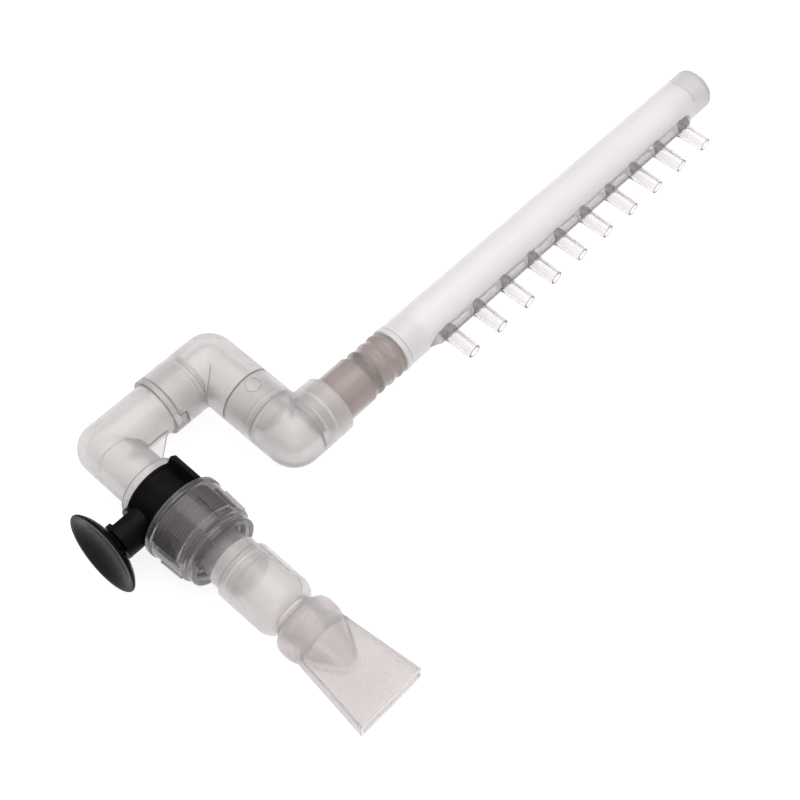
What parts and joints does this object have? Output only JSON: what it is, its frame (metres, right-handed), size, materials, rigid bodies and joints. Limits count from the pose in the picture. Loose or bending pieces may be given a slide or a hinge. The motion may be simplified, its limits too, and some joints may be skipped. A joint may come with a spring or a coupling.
{
  "type": "aquarium filter outlet set",
  "caption": "Aquarium filter outlet: a suction-cup bracket holds jointed pipe elbows that feed a duckbill nozzle and a straight spray bar with a row of small nozzles.",
  "frame": {"origin": "centre of the suction cup's sealing face, which lies against the glass", "axes": "+Y away from the glass and along the spray bar, +X along the outlet branch towards the duckbill's mouth, +Z at right angles to the plane of the pipes"},
  "size_m": [0.16, 0.336, 0.0358],
  "materials": {
    "cup_rubber": "glossy soft black",
    "black_plastic": "moulded, satin",
    "frosted_plastic": "translucent, frosted warm grey",
    "grey_plastic": "translucent, frosted grey",
    "white_plastic": "translucent, frosted white",
    "smoke_plastic": "clear smoke grey, polished",
    "seal_rubber": "matte"
  },
  "bodies": {
    "cup": {"suction_cup": "cup_rubber"},
    "bracket": {"pipe_bracket": "black_plastic"},
    "riser": {"flanged_elbow": "frosted_plastic", "swivel_o_ring": "seal_rubber"},
    "nut": {"union_nut": "smoke_plastic"},
    "tail": {"tailpiece": "frosted_plastic", "union_washer": "seal_rubber", "tailpiece_o_ring": "seal_rubber"},
    "adaptor": {"adaptor_body": "frosted_plastic", "neck_o_ring": "seal_rubber"},
    "duckbill": {"duckbill_nozzle": "frosted_plastic"},
    "middle_elbow": {"swivel_elbow": "frosted_plastic", "cross_o_ring": "seal_rubber"},
    "last_elbow": {"bar_elbow": "frosted_plastic"},
    "connector": {"bar_connector": "grey_plastic", "connector_o_ring": "seal_rubber", "bar_o_ring": "seal_rubber"},
    "bar": {"spray_bar": "white_plastic"},
    "cap": {"end_cap": "white_plastic", "end_cap_o_ring": "seal_rubber"}
  },
  "joints": [
    {"name": "cup_swivel", "type": "hinge", "parent": "cup", "child": "bracket", "pos_m": [0, 0.008, 0], "axis": [0, 1, 0], "continuous": true},
    {"name": "pipe_turn", "type": "hinge", "parent": "bracket", "child": "riser", "pos_m": [0, 0.031, 0], "axis": [1, 0, 0], "range_deg": [-90, 90]},
    {"name": "nut_turn", "type": "hinge", "parent": "riser", "child": "nut", "pos_m": [0.017, 0.031, 0], "axis": [1, 0, 0], "range_deg": [0, 120]},
    {"name": "tailpiece_turn", "type": "hinge", "parent": "riser", "child": "tail", "pos_m": [0.027, 0.031, 0], "axis": [1, 0, 0], "continuous": true},
    {"name": "adaptor_turn", "type": "hinge", "parent": "tail", "child": "adaptor", "pos_m": [0.042, 0.031, 0], "axis": [1, 0, 0], "continuous": true},
    {"name": "duckbill_turn", "type": "hinge", "parent": "adaptor", "child": "duckbill", "pos_m": [0.073, 0.031, 0], "axis": [1, 0, 0], "continuous": true},
    {"name": "elbow_swivel", "type": "hinge", "parent": "riser", "child": "middle_elbow", "pos_m": [-0.033, 0.066, 0], "axis": [0, 1, 0], "range_deg": [-90, 0]},
    {"name": "cross_turn", "type": "hinge", "parent": "middle_elbow", "child": "last_elbow", "pos_m": [-0.007, 0.084, 0], "axis": [1, 0, 0], "range_deg": [-90, 90]},
    {"name": "connector_turn", "type": "hinge", "parent": "last_elbow", "child": "connector", "pos_m": [0.014, 0.099, 0], "axis": [0, 1, 0], "continuous": true},
    {"name": "bar_turn", "type": "hinge", "parent": "connector", "child": "bar", "pos_m": [0.014, 0.144, 0], "axis": [0, 1, 0], "continuous": true},
    {"name": "cap_pull", "type": "slide", "parent": "bar", "child": "cap", "axis": [0, 1, 0], "range_m": [0, 0.012]}
  ]
}
